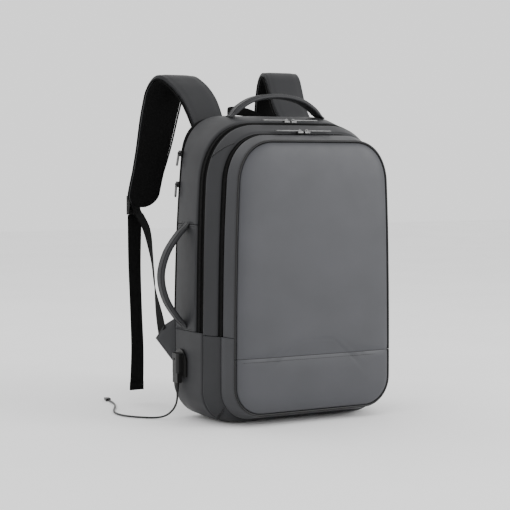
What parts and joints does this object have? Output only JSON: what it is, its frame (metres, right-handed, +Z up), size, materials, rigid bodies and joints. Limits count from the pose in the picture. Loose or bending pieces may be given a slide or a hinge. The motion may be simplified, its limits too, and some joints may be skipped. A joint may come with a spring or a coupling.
{
  "type": "backpack",
  "caption": "Soft laptop backpack with a zipped main compartment, zipped front pocket, padded shoulder straps, top and side carrying handles, and an outside charging port with its lead.",
  "frame": {"origin": "on the floor under the middle of the flat base of the rear section", "axes": "+X towards the right-hand side of the bag seen from the front, +Y from the front pocket towards the wearer's back, +Z up"},
  "size_m": [0.4046, 0.362, 0.5338],
  "materials": {
    "shell_fabric": "matte",
    "padding_mesh": "matte",
    "lining": "matte",
    "zip_tape": "matte",
    "webbing": "matte",
    "piping": "satin",
    "zip_metal": "satin",
    "moulded_plastic": "satin",
    "cord_jacket": "satin"
  },
  "bodies": {
    "pack": {"rear_gusset_top": "shell_fabric", "left_side_panel": "shell_fabric", "right_side_panel": "shell_fabric", "lower_gusset": "shell_fabric", "back_binding": "padding_mesh", "back_panel": "padding_mesh", "laptop_divider": "lining", "base_board": "lining", "back_pad_left": "padding_mesh", "back_pad_right": "padding_mesh", "lumbar_pad": "padding_mesh", "hang_loop": "webbing", "main_zip_tape_rear": "zip_tape", "main_zip_chain": "zip_tape", "middle_gusset_lower": "shell_fabric", "pocket_divider_lower": "lining", "pocket_gusset_lower": "shell_fabric", "front_piping_lower": "piping", "front_panel_lower": "shell_fabric", "anchor_tab_left": "shell_fabric", "lower_webbing_left": "webbing", "anchor_tab_right": "shell_fabric", "lower_webbing_right": "webbing", "usb_port": "moulded_plastic", "charging_cord": "cord_jacket", "phone_connector": "moulded_plastic"},
    "front_section": {"middle_gusset_upper": "shell_fabric", "main_zip_tape_front": "zip_tape", "pocket_divider_upper": "lining", "pocket_zip_tape_rear": "zip_tape", "pocket_zip_chain": "zip_tape", "pen_organizer": "lining"},
    "front_pocket": {"pocket_gusset_upper": "shell_fabric", "pocket_zip_tape_front": "zip_tape", "front_panel_upper": "shell_fabric", "front_piping_upper": "piping"},
    "main_left_zip_slider": {"main_left_slider": "zip_metal"},
    "main_left_zip_pull": {"main_left_pull": "zip_metal"},
    "main_right_zip_slider": {"main_right_slider": "zip_metal"},
    "main_right_zip_pull": {"main_right_pull": "zip_metal"},
    "pocket_left_zip_slider": {"pocket_left_slider": "zip_metal"},
    "pocket_left_zip_pull": {"pocket_left_pull": "zip_metal"},
    "pocket_right_zip_slider": {"pocket_right_slider": "zip_metal"},
    "pocket_right_zip_pull": {"pocket_right_pull": "zip_metal"},
    "side_upper_zip_slider": {"side_upper_slider": "zip_metal"},
    "side_upper_zip_pull": {"side_upper_pull": "zip_metal"},
    "side_lower_zip_slider": {"side_lower_slider": "zip_metal"},
    "side_lower_zip_pull": {"side_lower_pull": "zip_metal"},
    "top_handle": {"top_handle_grip": "shell_fabric"},
    "side_handle": {"side_handle_grip": "shell_fabric"},
    "strap_left": {"strap_pad_left": "shell_fabric", "strap_mesh_left": "padding_mesh", "ladder_lock_left": "moulded_plastic"},
    "tail_left": {"strap_tail_left": "webbing"},
    "strap_right": {"strap_pad_right": "shell_fabric", "strap_mesh_right": "padding_mesh", "ladder_lock_right": "moulded_plastic"},
    "tail_right": {"strap_tail_right": "webbing"},
    "plug": {"usb_plug": "moulded_plastic"}
  },
  "joints": [
    {"name": "front_section_fold", "type": "hinge", "parent": "pack", "child": "front_section", "pos_m": [0, -0.0845, 0.102], "axis": [1, 0, 0], "range_deg": [0, 30]},
    {"name": "front_pocket_fold", "type": "hinge", "parent": "front_section", "child": "front_pocket", "pos_m": [0, -0.0845, 0.102], "axis": [1, 0, 0], "range_deg": [0, 30]},
    {"name": "main_left_slide", "type": "slide", "parent": "pack", "child": "main_left_zip_slider", "axis": [-1, 0, 0], "range_m": [0, 0.055]},
    {"name": "main_left_pull_hinge", "type": "hinge", "parent": "main_left_zip_slider", "child": "main_left_zip_pull", "pos_m": [-0.006, -0.006, 0.4526], "axis": [0, 1, 0], "range_deg": [0, 120]},
    {"name": "main_right_slide", "type": "slide", "parent": "pack", "child": "main_right_zip_slider", "axis": [1, 0, 0], "range_m": [0, 0.055]},
    {"name": "main_right_pull_hinge", "type": "hinge", "parent": "main_right_zip_slider", "child": "main_right_zip_pull", "pos_m": [0.006, -0.006, 0.4526], "axis": [0, -1, 0], "range_deg": [0, 120]},
    {"name": "pocket_left_slide", "type": "slide", "parent": "front_section", "child": "pocket_left_zip_slider", "axis": [-1, 0, 0], "range_m": [0, 0.055]},
    {"name": "pocket_left_pull_hinge", "type": "hinge", "parent": "pocket_left_zip_slider", "child": "pocket_left_zip_pull", "pos_m": [-0.006, -0.045, 0.43595], "axis": [0, 1, 0], "range_deg": [0, 120]},
    {"name": "pocket_right_slide", "type": "slide", "parent": "front_section", "child": "pocket_right_zip_slider", "axis": [1, 0, 0], "range_m": [0, 0.055]},
    {"name": "pocket_right_pull_hinge", "type": "hinge", "parent": "pocket_right_zip_slider", "child": "pocket_right_zip_pull", "pos_m": [0.006, -0.045, 0.43595], "axis": [0, -1, 0], "range_deg": [0, 120]},
    {"name": "side_upper_slide", "type": "slide", "parent": "pack", "child": "side_upper_zip_slider", "axis": [0.174, 0, 0.9848], "range_m": [0, 0.03]},
    {"name": "side_upper_pull_hinge", "type": "hinge", "parent": "side_upper_zip_slider", "child": "side_upper_zip_pull", "pos_m": [-0.14955, 0.072, 0.40262], "axis": [0, 1, 0], "range_deg": [0, 120]},
    {"name": "side_lower_slide", "type": "slide", "parent": "pack", "child": "side_lower_zip_slider", "axis": [0.0812, 0, 0.9967], "range_m": [-0.08, 0]},
    {"name": "side_lower_pull_hinge", "type": "hinge", "parent": "side_lower_zip_slider", "child": "side_lower_zip_pull", "pos_m": [-0.15407, 0.072, 0.35529], "axis": [0, 1, 0], "range_deg": [0, 120]},
    {"name": "top_handle_hinge", "type": "hinge", "parent": "pack", "child": "top_handle", "pos_m": [0, 0.036, 0.462], "axis": [1, 0, 0], "range_deg": [-33, 45], "stiffness_Nm_per_rad": 0.5},
    {"name": "side_handle_hinge", "type": "hinge", "parent": "pack", "child": "side_handle", "pos_m": [-0.1615, 0.036, 0.219], "axis": [0, 0, 1], "range_deg": [-45, 45], "stiffness_Nm_per_rad": 0.5},
    {"name": "strap_left_swing", "type": "hinge", "parent": "pack", "child": "strap_left", "pos_m": [-0.099, 0.079, 0.44], "axis": [0, 0, 1], "range_deg": [-10, 10], "deforming": ["lower_webbing_left"]},
    {"name": "tail_left_swing", "type": "hinge", "parent": "strap_left", "child": "tail_left", "pos_m": [-0.15, 0.2275, 0.3047], "axis": [1, 0, 0], "range_deg": [-20, 20]},
    {"name": "strap_right_swing", "type": "hinge", "parent": "pack", "child": "strap_right", "pos_m": [0.084, 0.079, 0.44], "axis": [0, 0, 1], "range_deg": [-10, 10], "deforming": ["lower_webbing_right"]},
    {"name": "tail_right_swing", "type": "hinge", "parent": "strap_right", "child": "tail_right", "pos_m": [0.088, 0.2275, 0.3047], "axis": [1, 0, 0], "range_deg": [-20, 20]},
    {"name": "plug_pull", "type": "slide", "parent": "pack", "child": "plug", "axis": [0, 0, -1], "range_m": [0, 0.012], "deforming": ["charging_cord"]}
  ]
}
